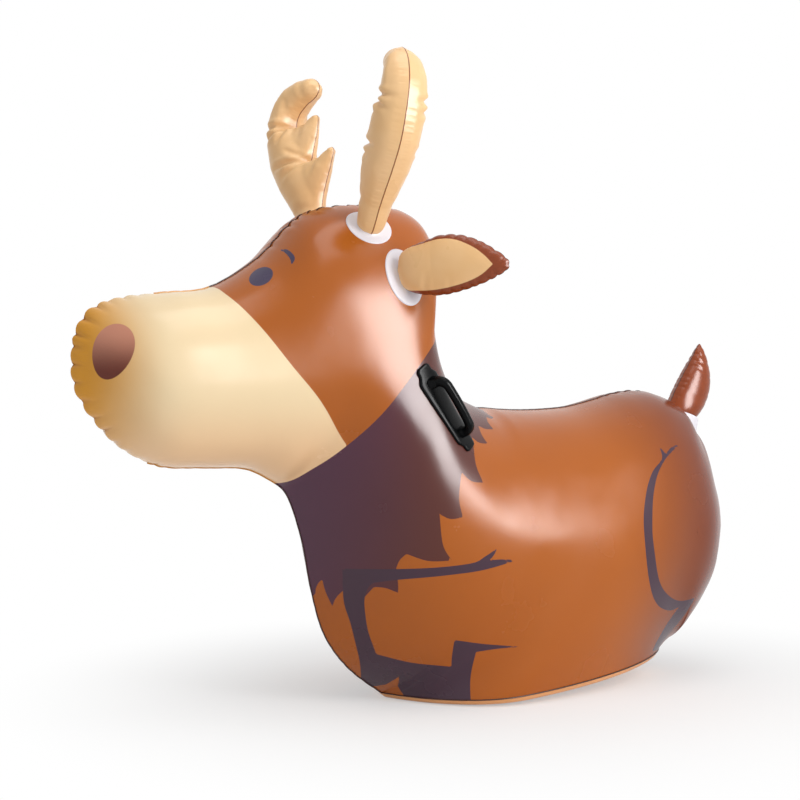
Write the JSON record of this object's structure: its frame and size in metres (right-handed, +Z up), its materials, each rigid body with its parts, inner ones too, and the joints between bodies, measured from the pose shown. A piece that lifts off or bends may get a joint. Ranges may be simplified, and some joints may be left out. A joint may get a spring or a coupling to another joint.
{
  "type": "inflatable animal hopper",
  "caption": "Inflatable ride-on reindeer hopper of welded vinyl film, with flexible antlers, ears and tail, moulded side handles and a capped air valve.",
  "frame": {"origin": "middle of the flat resting face of the base panel, on the floor", "axes": "+Z up, -Y towards the nose, +X towards the animal's left"},
  "size_m": [0.4956, 1.1246, 0.9294],
  "materials": {
    "brown_film": "printed PVC film, satin gloss, brown",
    "base_film": "PVC film, satin, peach orange",
    "antler_film": "printed PVC film, satin gloss, peach gold",
    "ear_inner_film": "printed PVC film, satin gloss, peach with a brown rim",
    "ear_outer_film": "PVC film, satin gloss, red brown",
    "collar_film": "white PVC film, satin",
    "handle_vinyl": "moulded soft PVC, black, glossy",
    "tail_film": "PVC film, satin gloss, red brown",
    "valve_rubber": "silicone, off white",
    "valve_vinyl": "moulded soft PVC, milky clear"
  },
  "bodies": {
    "skin": {"left_side_panel": "brown_film", "right_side_panel": "brown_film", "base_panel": "base_film", "left_antler_collar": "collar_film", "right_antler_collar": "collar_film", "left_ear_collar": "collar_film", "right_ear_collar": "collar_film", "tail_collar": "collar_film", "left_handle_plate": "handle_vinyl", "left_handle_grip": "handle_vinyl", "right_handle_plate": "handle_vinyl", "right_handle_grip": "handle_vinyl", "valve_base": "valve_vinyl", "valve_insert": "valve_vinyl", "valve_flap": "valve_rubber", "valve_gasket": "valve_rubber", "valve_pin": "valve_vinyl"},
    "left_antler": {"left_antler_front": "antler_film", "left_antler_back": "antler_film"},
    "right_antler": {"right_antler_front": "antler_film", "right_antler_back": "antler_film"},
    "left_ear": {"left_ear_front": "ear_inner_film", "left_ear_back": "ear_outer_film"},
    "right_ear": {"right_ear_front": "ear_inner_film", "right_ear_back": "ear_outer_film"},
    "tail": {"tail_left": "tail_film", "tail_right": "tail_film"},
    "valve_cap": {"valve_cap": "valve_vinyl"}
  },
  "joints": [
    {"name": "left_antler_bend", "type": "hinge", "parent": "skin", "child": "left_antler", "pos_m": [0.08063, -0.33023, 0.69671], "axis": [0.8661, -0.2673, -0.4224], "range_deg": [-15, 15], "stiffness_Nm_per_rad": 2.5},
    {"name": "right_antler_bend", "type": "hinge", "parent": "skin", "child": "right_antler", "pos_m": [-0.08063, -0.33023, 0.69671], "axis": [0.8661, 0.2673, 0.4224], "range_deg": [-15, 15], "stiffness_Nm_per_rad": 2.5},
    {"name": "left_ear_bend", "type": "hinge", "parent": "skin", "child": "left_ear", "pos_m": [0.12762, -0.29878, 0.62495], "axis": [-0.0734, -0.0532, 0.9959], "range_deg": [-15, 15], "stiffness_Nm_per_rad": 0.8},
    {"name": "right_ear_bend", "type": "hinge", "parent": "skin", "child": "right_ear", "pos_m": [-0.12762, -0.29878, 0.62495], "axis": [-0.0734, 0.0532, -0.9959], "range_deg": [-15, 15], "stiffness_Nm_per_rad": 0.8},
    {"name": "tail_wag", "type": "hinge", "parent": "skin", "child": "tail", "pos_m": [0, 0.33355, 0.42372], "axis": [0, 0.9536, -0.3011], "range_deg": [-15, 15], "stiffness_Nm_per_rad": 0.8},
    {"name": "valve_cap_open", "type": "hinge", "parent": "skin", "child": "valve_cap", "pos_m": [-0.15902, 0.22777, 0.17228], "axis": [-0.2089, 0.0687, 0.9755], "range_deg": [0, 110]}
  ]
}
